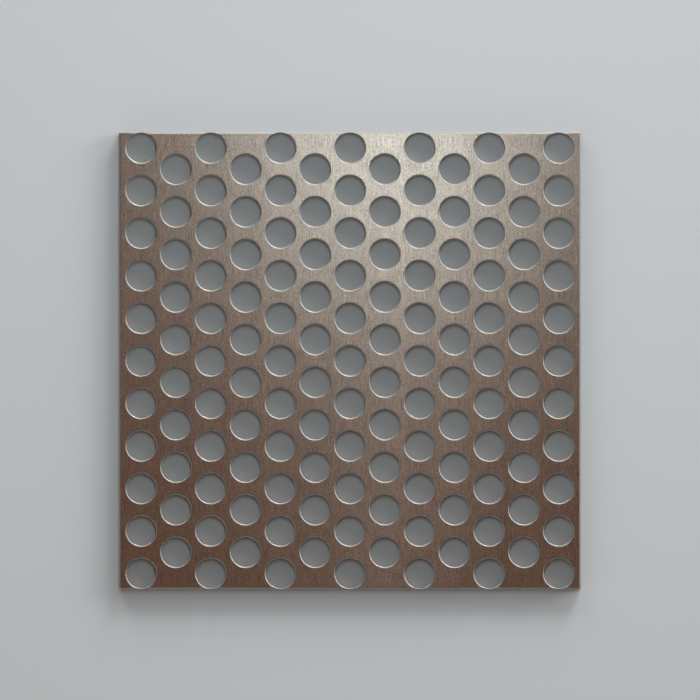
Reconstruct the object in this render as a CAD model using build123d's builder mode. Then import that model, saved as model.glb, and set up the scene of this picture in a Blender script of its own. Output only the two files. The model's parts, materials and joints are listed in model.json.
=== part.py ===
"""Perforated metal sheet: a square-cut piece of punched steel stock, lying flat.

The sheet is one piece of metal. Round holes are punched right through it in straight columns,
and every second column is shifted by half a hole pitch, so that the holes stand staggered.
The shifted columns hold one hole fewer. The two ends are sheared just outside the last holes
and keep only a hair of metal there, while the two sides keep a plain margin.

Millimetres. +X runs across the columns, +Y along them with the grain of the metal, and +Z up,
out of the punched face. The origin is the centre of the underside.
"""
from build123d import *
import os

# The stock
thickness = 3.0  # 11 gauge
edge_break = 0.4  # bevel round the outline of the punched face

# One hole and the bars of metal that stand between it and its neighbours
hole_diameter = 12.7  # half an inch
bar_in_column = 5.3  # from one hole to the next in the same column
bar_between_columns = 2.02  # clear strip between one column of holes and the next

# How many
columns = 13
holes_in_long_column = 11

# Metal left outside the outermost holes
side_margin = 3.0
end_margin = 0.2

# Worked out from the sizes above
hole_pitch = hole_diameter + bar_in_column
column_spacing = hole_diameter + bar_between_columns
sheet_width = (columns - 1) * column_spacing + hole_diameter + 2 * side_margin
sheet_length = (holes_in_long_column - 1) * hole_pitch + hole_diameter + 2 * end_margin


def column_of_holes(number):
    """Sketch one column of round holes, counted from the left side as 0, 1, 2 and so on."""
    across = (number - (columns - 1) / 2) * column_spacing
    shifted = number % 2
    holes = holes_in_long_column - shifted
    with Locations((across, 0)):
        with GridLocations(column_spacing, hole_pitch, 1, holes):
            Circle(hole_diameter / 2)


with BuildPart() as perforated_sheet:
    with BuildSketch():
        Rectangle(sheet_width, sheet_length)
    extrude(amount=thickness)
    punched_face = perforated_sheet.faces().sort_by(Axis.Z)[-1]
    chamfer(punched_face.edges(), length=edge_break)
    with BuildSketch():
        for column in range(columns):
            column_of_holes(column)
    extrude(amount=thickness, mode=Mode.SUBTRACT)

perforated_sheet.part.label = "perforated_sheet"

os.makedirs("parts", exist_ok=True)
export_step(perforated_sheet.part, "parts/perforated_sheet.step")
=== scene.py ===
import json
import math

import bmesh
import bpy
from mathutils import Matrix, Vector


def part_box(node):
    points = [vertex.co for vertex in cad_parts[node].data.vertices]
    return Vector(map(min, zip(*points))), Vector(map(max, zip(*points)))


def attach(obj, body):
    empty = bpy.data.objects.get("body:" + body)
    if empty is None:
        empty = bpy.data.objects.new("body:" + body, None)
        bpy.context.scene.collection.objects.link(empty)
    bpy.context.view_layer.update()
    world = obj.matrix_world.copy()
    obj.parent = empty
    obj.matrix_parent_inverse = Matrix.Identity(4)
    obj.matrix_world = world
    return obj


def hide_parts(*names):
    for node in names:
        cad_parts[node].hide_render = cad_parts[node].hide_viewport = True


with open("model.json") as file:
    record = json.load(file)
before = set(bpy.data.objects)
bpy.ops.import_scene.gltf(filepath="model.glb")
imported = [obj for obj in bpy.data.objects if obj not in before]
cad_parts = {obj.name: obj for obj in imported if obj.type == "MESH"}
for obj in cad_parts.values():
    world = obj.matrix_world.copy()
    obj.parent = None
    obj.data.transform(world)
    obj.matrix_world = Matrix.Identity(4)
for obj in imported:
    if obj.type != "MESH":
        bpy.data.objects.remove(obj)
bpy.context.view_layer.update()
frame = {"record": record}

# The perforated sheet.
# One flat piece of bare steel, brushed along the columns of holes and punched from above with one
# round punch, then sheared to size. Nothing holds it: it lies loose on its underside.
mm = 0.001
sheet_low, sheet_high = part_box("perforated_sheet")
sheet_top = sheet_high.z

# Where the holes are, from the bolt pattern that the four corner holes make
mounts = {mount["name"]: mount for mount in frame["record"]["mounts"]}
corner_pattern = mounts["corner_holes"]["dims"]
hole_radius = corner_pattern["hole_r_mm"] * mm
columns = 13
holes_in_long_column = 11
pitches_between_corner_holes = 8
column_spacing = corner_pattern["spacing_x_mm"] * mm / (columns - 1)
hole_pitch = corner_pattern["spacing_y_mm"] * mm / pitches_between_corner_holes

# What the punch leaves in a hole, from the top down: a rolled lip, a burnished band, a torn taper
hole_sides = 56
lip_width = 0.45 * mm
lip_depth = 0.21 * mm
lip_ease = 0.09 * mm
tear_line = 1.70 * mm
tear_step = 0.03 * mm
tear_taper = 0.12 * mm

# The hair of metal outside an end hole, which the punch draws down into the hole
drawn_sides = 46
drawn_radius = 3.0 * mm
drawn_width = 0.96 * mm
drawn_depth = 0.48 * mm

# What the shear leaves round the outline
edge_width = 0.68 * mm
edge_depth = 0.32 * mm
edge_ease = 0.12 * mm
shear_taper = 0.06 * mm

# How far the shapes that are cut away reach past the sheet, and the sharpest turn that stays smooth
overshoot = 1 * mm
smooth_turn = math.radians(35)


def hole_centres():
    """Every hole's centre: straight columns, each second one shifted by half a pitch and one short."""
    for column in range(columns):
        holes = holes_in_long_column - column % 2
        for hole in range(holes):
            across = (column - (columns - 1) / 2) * column_spacing
            along = (hole - (holes - 1) / 2) * hole_pitch
            yield Vector((across, along))


def eased(start, corner, end, steps=3):
    """Points of a smooth curve that turns a corner."""
    for step in range(steps + 1):
        share = step / steps
        yield start.lerp(corner, share).lerp(corner.lerp(end, share), share)


def rolled_corner(width, depth, ease):
    """Setback and height of the points from the wall, over a slope with eased ends, to the flat top."""
    low, high = Vector((0, sheet_top - depth)), Vector((width, sheet_top))
    up, along, level = Vector((0, ease)), (high - low).normalized() * ease, Vector((ease, 0))
    yield from eased(low - up, low, low + along)
    yield from eased(high - along, high, high + level)


def slug_profile():
    """Radius and height of the metal that one hole loses, from below the sheet to above it."""
    yield hole_radius + tear_taper, sheet_low.z - overshoot
    yield hole_radius + tear_taper, sheet_low.z
    yield hole_radius + tear_step, tear_line - tear_step
    yield hole_radius, tear_line
    for setback, height in rolled_corner(lip_width, lip_depth, lip_ease):
        yield hole_radius + setback, height
    yield hole_radius + setback, sheet_top + overshoot


def bowl_profile():
    """Radius and height of the shallow bowl that is drawn into the metal outside an end hole."""
    foot = Vector((drawn_radius - drawn_width, sheet_top - 2 * drawn_depth))
    rim = Vector((drawn_radius + drawn_width, sheet_top))
    yield foot
    yield from eased(rim - (rim - foot).normalized() * lip_ease, rim, rim + Vector((lip_ease, 0)))
    yield rim.x + lip_ease, sheet_top + overshoot


def rings_round(centre, profile, sides):
    """Level rings of points round a centre, at each radius and height of a profile."""
    turns = [2 * math.pi * side / sides for side in range(sides)]
    for radius, height in profile:
        yield [
            (centre.x + radius * math.cos(turn), centre.y + radius * math.sin(turn), height)
            for turn in turns
        ]


def slugs():
    """What the punch takes out: one slug at each hole."""
    for centre in hole_centres():
        yield rings_round(centre, slug_profile(), hole_sides)


def bowls():
    """One bowl at each end hole, which is a hole that reaches the slope of the outline."""
    for centre in hole_centres():
        if abs(centre.y) + hole_radius > sheet_high.y - edge_width:
            outward = Vector((0, math.copysign(hole_radius - drawn_radius, centre.y)))
            yield rings_round(centre + outward, bowl_profile(), drawn_sides)


def blank_rings():
    """The square outline of the blank at each height, from its underside to its top."""
    levels = [(shear_taper, sheet_low.z), (0, tear_line)]
    levels += rolled_corner(edge_width, edge_depth, edge_ease)
    for setback, height in levels:
        across, along = sheet_high.x - setback, sheet_high.y - setback
        yield [(-across, -along, height), (across, -along, height),
               (across, along, height), (-across, along, height)]


def closed_shapes(name, shapes):
    """One object of closed shapes, each given as rings of points from the bottom up."""
    skin = bmesh.new()
    for rings in shapes:
        rings = [[skin.verts.new(point) for point in ring] for ring in rings]
        for lower, upper in zip(rings, rings[1:]):
            for here in range(len(lower)):
                skin.faces.new((lower[here - 1], lower[here], upper[here], upper[here - 1]))
        skin.faces.new(reversed(rings[0]))
        skin.faces.new(rings[-1])
    mesh = bpy.data.meshes.new(name)
    skin.to_mesh(mesh)
    skin.free()
    shape = bpy.data.objects.new(name, mesh)
    bpy.context.scene.collection.objects.link(shape)
    return shape


def cut_away(metal, waste):
    """Take the waste out of the metal, for good."""
    cut = metal.modifiers.new("cut", "BOOLEAN")
    cut.operation = "DIFFERENCE"
    cut.solver = "EXACT"
    cut.object = waste
    left_over = metal.evaluated_get(bpy.context.evaluated_depsgraph_get())
    metal.data = bpy.data.meshes.new_from_object(left_over)
    metal.modifiers.clear()
    bpy.data.objects.remove(waste)


class Shade:
    """One output of a shader node. Arithmetic on it adds Math nodes."""

    def __init__(self, nodes, output=None):
        self.nodes = nodes
        self.output = output

    def node(self, kind, settings=None, inputs=None, output=0):
        """Add a node, set it up, feed its inputs, and give back one of its outputs."""
        added = self.nodes.new("ShaderNode" + kind)
        for setting, value in (settings or {}).items():
            setattr(added, setting, value)
        for name, value in (inputs or {}).items():
            if isinstance(value, Shade):
                self.nodes.id_data.links.new(value.output, added.inputs[name])
            else:
                added.inputs[name].default_value = value
        return Shade(self.nodes, added.outputs[output])

    def math(self, operation, *values):
        return self.node("Math", {"operation": operation}, dict(enumerate(values)))

    def __add__(self, other):
        return self.math("ADD", self, other)

    def __sub__(self, other):
        return self.math("SUBTRACT", self, other)

    def __rsub__(self, other):
        return self.math("SUBTRACT", other, self)

    def __mul__(self, other):
        return self.math("MULTIPLY", self, other)

    def __abs__(self):
        return self.math("ABSOLUTE", self)

    __radd__ = __add__
    __rmul__ = __mul__

    def rise(self, low, high):
        """0 below low, 1 above high, and a smooth rise between them."""
        limits = {"Value": self, "From Min": low, "From Max": high}
        return self.node("MapRange", {"interpolation_type": "SMOOTHSTEP"}, limits)

    def toward(self, other, share):
        """This number, taken a share of the way to another."""
        return self + (other - self) * share

    def between(self, dark, light):
        """A colour that runs from dark where this number is 0 to light where it is 1."""
        colours = {0: self, 6: (*dark, 1), 7: (*light, 1)}
        return self.node("Mix", {"data_type": "RGBA"}, colours, output=2)

    def tinted(self, colour, share):
        """This colour, taken a share of the way to another."""
        colours = {0: share, 6: self, 7: (*colour, 1)}
        return self.node("Mix", {"data_type": "RGBA"}, colours, output=2)

    def streaks(self, across, along, upright, detail=2):
        """Noise round 0 on this position, in streaks of about these lengths along X, Y and Z."""
        lengths = {0: self, 1: (1 / across, 1 / along, 1 / upright)}
        place = self.node("VectorMath", {"operation": "MULTIPLY"}, lengths)
        noise = {"Vector": place, "Scale": 1, "Detail": detail, "Roughness": 0.6}
        return self.node("TexNoise", inputs=noise) - 0.5


# The bare steel, as colours and roughness: the grain of the brushed face between its dark and light
# lines, the rolled lips and edges, the burnished walls, and the torn band low in the walls
grain_dark, grain_light, face_roughness = (0.22, 0.173, 0.140), (0.60, 0.471, 0.382), 0.29
lip_colour, lip_roughness = (0.415, 0.385, 0.348), 0.48
wall_colour, wall_roughness = (0.30, 0.265, 0.23), 0.34
torn_colour, torn_roughness = (0.12, 0.10, 0.085), 0.72

# How level the metal is, from 0 for upright to 1 for flat, where a slope turns to face and to wall
slope_to_face = (0.93, 0.995)
wall_to_slope = (0.15, 0.45)

# How the tear wanders up and down, and how soft its line is
tear_wave = 0.7 * mm
tear_wander = 0.6 * mm
tear_blur = (-0.08 * mm, 0.04 * mm)


def brushed_steel():
    """Bare steel: brushed faces, rolled lips and edges, and burnished and torn metal in the walls."""
    finish = bpy.data.materials.new("brushed_steel")
    finish.use_nodes = True
    shade = Shade(finish.node_tree.nodes)
    steel = shade.nodes["Principled BSDF"]

    place = shade.node("TexCoord", output="Object")
    height = shade.node("SeparateXYZ", inputs={0: place}, output="Z")
    normal = shade.node("NewGeometry", output="Normal")
    level = abs(shade.node("SeparateXYZ", inputs={0: normal}, output="Z"))
    on_face = level.rise(*slope_to_face)
    on_wall = 1 - level.rise(*wall_to_slope)
    wandering = height + place.streaks(tear_wave, tear_wave, tear_wave) * tear_wander
    torn = on_wall * (1 - wandering.rise(*(tear_line + blur for blur in tear_blur)))

    # The brushing: hair lines, streaks that can be told apart, nicks, and broad passes of the belt
    hair_lines = place.streaks(0.30 * mm, 5 * mm, 1 * mm)
    streaks = place.streaks(0.6 * mm, 8 * mm, 1 * mm)
    nicks = place.streaks(0.4 * mm, 1.0 * mm, 1 * mm, detail=1)
    passes = place.streaks(13 * mm, 170 * mm, 10 * mm, detail=1)
    grain = 0.5 + hair_lines * 1.3 + streaks * 0.9 + nicks * 1.5 + passes * 0.3

    # The walls: upright marks where the punch drags, and crumbs where the metal tears
    drag_marks = place.streaks(0.13 * mm, 0.13 * mm, 5 * mm)
    crumbs = place.streaks(0.12 * mm, 0.12 * mm, 0.12 * mm, detail=3)

    colour = grain.between(grain_dark, grain_light)
    colour = colour.tinted(lip_colour, 1 - on_face)
    colour = colour.tinted(wall_colour, on_wall)
    colour = colour.tinted(torn_colour, torn)

    roughness = face_roughness - hair_lines * 0.02 - streaks * 0.02
    roughness = roughness.toward(lip_roughness, 1 - on_face)
    roughness = roughness.toward(wall_roughness + drag_marks * 0.2, on_wall)
    roughness = roughness.toward(torn_roughness, torn)

    brushed_relief = (hair_lines * 0.0020 + streaks * 0.0040) * mm * on_face
    wall_relief = drag_marks * 0.004 * mm * (on_wall - torn) + crumbs * 0.05 * mm * torn
    relief = shade.node("Bump", inputs={"Distance": 1, "Height": brushed_relief + wall_relief})

    links = finish.node_tree.links
    links.new(colour.output, steel.inputs["Base Color"])
    links.new(roughness.output, steel.inputs["Roughness"])
    links.new(relief.output, steel.inputs["Normal"])
    steel.inputs["Metallic"].default_value = 1
    return finish


sheet = closed_shapes("punched_sheet", [blank_rings()])
cut_away(sheet, closed_shapes("slugs", slugs()))
cut_away(sheet, closed_shapes("bowls", bowls()))
sheet.data.polygons.foreach_set("use_smooth", [True] * len(sheet.data.polygons))
sheet.data.set_sharp_from_angle(angle=smooth_turn)
flat_faces = sheet.modifiers.new("flat_faces", "WEIGHTED_NORMAL")
flat_faces.keep_sharp = True
sheet.data.materials.clear()
sheet.data.materials.append(brushed_steel())
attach(sheet, "root")
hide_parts("perforated_sheet")

# The floor.
# A plain pale studio floor, wide enough to fill a low view, with the sheet lying on it.
floor_reach = 5.0
floor_gap = 0.01 * mm
floor_colour = (0.80, 0.80, 0.80, 1)
floor_roughness = 0.9
floor_gloss = 0.1
floor_mesh = bpy.data.meshes.new("floor")
floor_corners = [(-floor_reach, -floor_reach, 0), (floor_reach, -floor_reach, 0),
                 (floor_reach, floor_reach, 0), (-floor_reach, floor_reach, 0)]
floor_mesh.from_pydata(floor_corners, [], [(0, 1, 2, 3)])
floor_paint = bpy.data.materials.new("floor_paint")
floor_paint.use_nodes = True
paint = floor_paint.node_tree.nodes["Principled BSDF"]
paint.inputs["Base Color"].default_value = floor_colour
paint.inputs["Roughness"].default_value = floor_roughness
paint.inputs["Specular IOR Level"].default_value = floor_gloss
floor_mesh.materials.append(floor_paint)
floor = bpy.data.objects.new("floor", floor_mesh)
floor.location.z = sheet_low.z - floor_gap
bpy.context.scene.collection.objects.link(floor)

# The light.
# A dim studio with a warm panel overhead and pale walls, brightest to one side. Strong strip boxes
# rake over the sheet from there, weak ones fill in opposite, and two narrow softboxes hang above it.
bright_azimuth = 67
bright_strength = 1.2
all_round_strength = 0.36
low_walls = (0.95, 1.0, 1.04)
upper_walls = (0.130, 0.115, 0.105)
ceiling = (0.070, 0.050, 0.040)
overhead_panel = (0.273, 0.137, 0.086)

# Where each of these gives way to the next, as the sine of the angle above the horizon
horizon_to_low_walls = (0.04, 0.15)
low_to_upper_walls = (0.24, 0.46)
walls_to_ceiling = (0.35, 0.85)
ceiling_to_panel = (0.97, 0.995)

# The strip boxes stand round the sheet: azimuth and radiance of each
strip_radiances = {22: 21, 67: 34, 112: 13, 202: 3.4, 247: 4, 292: 2.6}
strip_distance = 2.5
strip_height = 0.42
strip_size = (1.2, 0.5)
strip_colour = (0.96, 1.0, 1.03)


def toward_azimuth(degrees):
    """The level direction at an angle from +X."""
    return Vector((math.cos(math.radians(degrees)), math.sin(math.radians(degrees)), 0))


studio = bpy.data.worlds.new("studio")
studio.use_nodes = True
bpy.context.scene.world = studio
shade = Shade(studio.node_tree.nodes)
direction = shade.node("TexCoord", output="Generated")
elevation = shade.node("SeparateXYZ", inputs={0: direction}, output="Z")
bright_side = {0: direction, 1: toward_azimuth(bright_azimuth)}
facing = shade.node("VectorMath", {"operation": "DOT_PRODUCT"}, bright_side, "Value")
low_down = elevation.rise(*horizon_to_low_walls) * (1 - elevation.rise(*low_to_upper_walls))
strength = (facing.math("MAXIMUM", facing, 0) * bright_strength + all_round_strength) * low_down
glow = shade.node("VectorMath", {"operation": "SCALE"}, {0: low_walls, "Scale": strength})
room = elevation.rise(*walls_to_ceiling).between(upper_walls, ceiling)
room = room.tinted(overhead_panel, elevation.rise(*ceiling_to_panel))
lit_room = shade.node("VectorMath", {"operation": "ADD"}, {0: room, 1: glow})
background = studio.node_tree.nodes["Background"]
studio.node_tree.links.new(lit_room.output, background.inputs["Color"])


def softbox(name, place, target, size, radiance, colour):
    """A lamp at a place, turned to a target, that gives off a radiance over its width and height."""
    data = bpy.data.lights.new(name, "AREA")
    data.shape = "RECTANGLE"
    data.size, data.size_y = size
    data.color = colour
    data.energy = radiance * math.pi * size[0] * size[1]
    lamp = bpy.data.objects.new(name, data)
    lamp.location = place
    lamp.rotation_mode = "QUATERNION"
    lamp.rotation_quaternion = (Vector(target) - Vector(place)).to_track_quat("-Z", "Y")
    lamp.visible_camera = False
    bpy.context.scene.collection.objects.link(lamp)


for azimuth, radiance in strip_radiances.items():
    place = toward_azimuth(azimuth) * strip_distance + Vector((0, 0, strip_height))
    softbox("strip_box", place, (0, 0, 0), strip_size, radiance, strip_colour)
softbox("end_softbox", place=(0.021, 0.250, 0.529), target=(0.021, 0.250, 0),
        size=(0.06, 0.38), radiance=6.7, colour=(0.81, 1.05, 1.17))
softbox("near_softbox", place=(0.016, -0.034, 0.300), target=(0.016, -0.034, 0),
        size=(0.04, 0.20), radiance=0.31, colour=(0.87, 1.03, 1.07))

# The camera.
# A long lens straight above the sheet and square to it, aimed a little past the sheet's middle.
view_height = 3.0
view_width = 296.2 * mm
view_offset = 4.5 * mm
lens = bpy.data.cameras.new("camera")
lens.lens = lens.sensor_width * (view_height - sheet_top) / view_width
camera = bpy.data.objects.new("camera", lens)
camera.location = (0, view_offset, view_height)
bpy.context.scene.collection.objects.link(camera)
bpy.context.scene.camera = camera
bpy.context.scene.view_settings.view_transform = "Standard"
